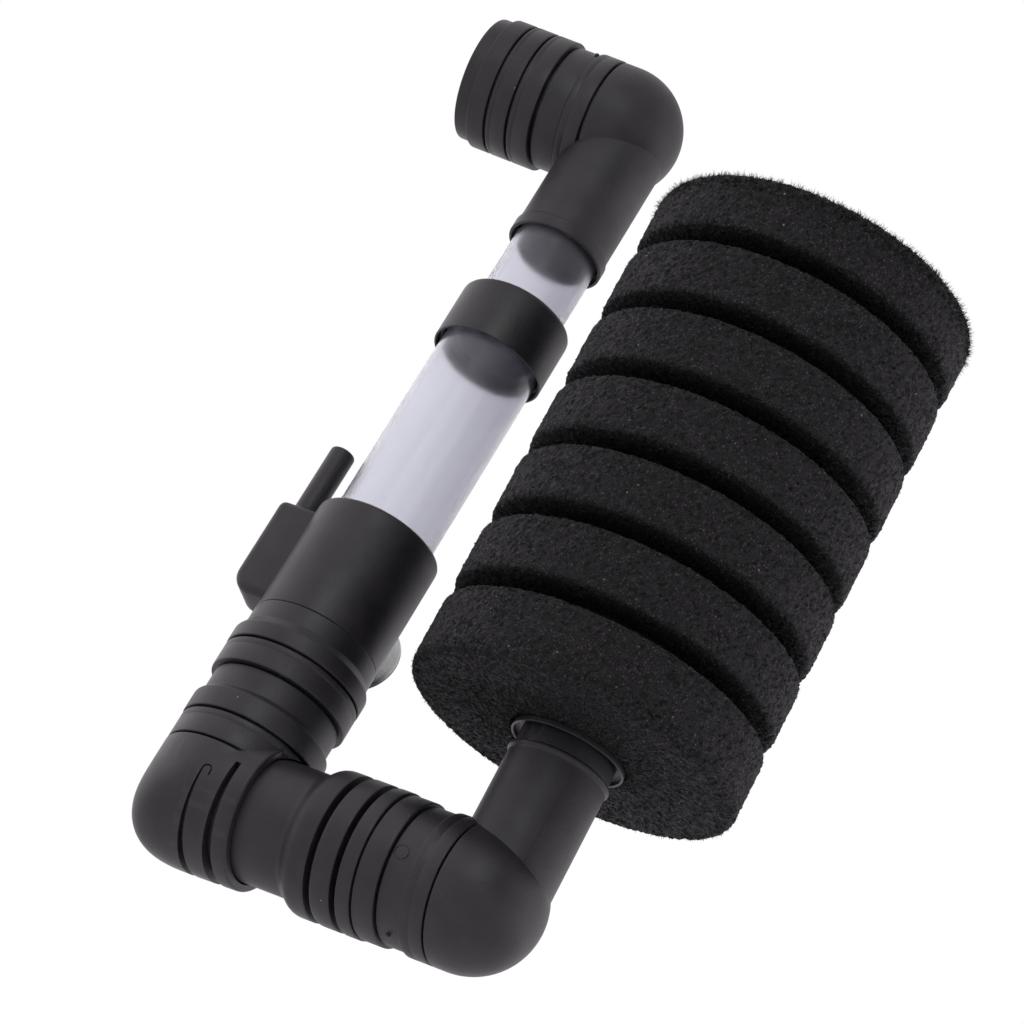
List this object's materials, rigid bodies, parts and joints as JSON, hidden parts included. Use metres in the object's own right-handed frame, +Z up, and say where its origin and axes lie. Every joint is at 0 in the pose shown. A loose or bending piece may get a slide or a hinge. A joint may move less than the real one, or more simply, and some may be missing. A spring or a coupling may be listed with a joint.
{
  "type": "sponge filter",
  "caption": "Air-lift sponge filter with a grooved foam cartridge on a swivelling U-shaped pipe, a telescopic clear lift tube, a turning outlet elbow and a suction cup.",
  "frame": {"origin": "centre of the suction cup's rim, on the glass that it sticks to", "axes": "+Z up along the lift tube, +X from the lift tube towards the sponge, +Y into the glass"},
  "size_m": [0.1222, 0.073, 0.1912],
  "materials": {
    "black_plastic": "satin moulded black plastic",
    "clear_plastic": "clear plastic tube with a pale lavender tint",
    "soft_clear": "soft clear vinyl",
    "black_rubber": "matt black rubber",
    "foam": "open-cell black filter foam"
  },
  "bodies": {
    "lift": {"lift_barrel": "black_plastic", "air_nozzle": "black_plastic", "bubble_ring": "black_plastic", "suction_cup": "soft_clear", "outer_lift_tube": "clear_plastic", "slide_collar": "black_plastic", "collar_grip_ring": "black_rubber"},
    "inner_tube": {"inner_lift_tube": "clear_plastic"},
    "outlet": {"outlet_elbow": "black_plastic"},
    "lower_arm": {"lower_elbow": "black_plastic", "elbow_seal_ring": "black_rubber", "link_tube": "black_plastic", "swivel_coupler": "black_plastic", "coupler_seal_ring": "black_rubber"},
    "sponge_arm": {"sponge_elbow": "black_plastic", "strainer_core": "black_plastic", "core_end_cap": "black_plastic", "sponge_flange": "black_plastic", "sponge": "foam"}
  },
  "joints": [
    {"name": "tube_slide", "type": "slide", "parent": "lift", "child": "inner_tube", "axis": [0, 0, 1], "range_m": [-0.0105, 0.001]},
    {"name": "outlet_swivel", "type": "hinge", "parent": "inner_tube", "child": "outlet", "pos_m": [0, -0.0175, 0.095], "axis": [0, 0, 1], "continuous": true},
    {"name": "arm_swing", "type": "hinge", "parent": "lift", "child": "lower_arm", "pos_m": [0, -0.0175, -0.0155], "axis": [0, 0, 1], "continuous": true},
    {"name": "sponge_turn", "type": "hinge", "parent": "lower_arm", "child": "sponge_arm", "pos_m": [0.0373, -0.0175, -0.0455], "axis": [1, 0, 0], "continuous": true}
  ]
}
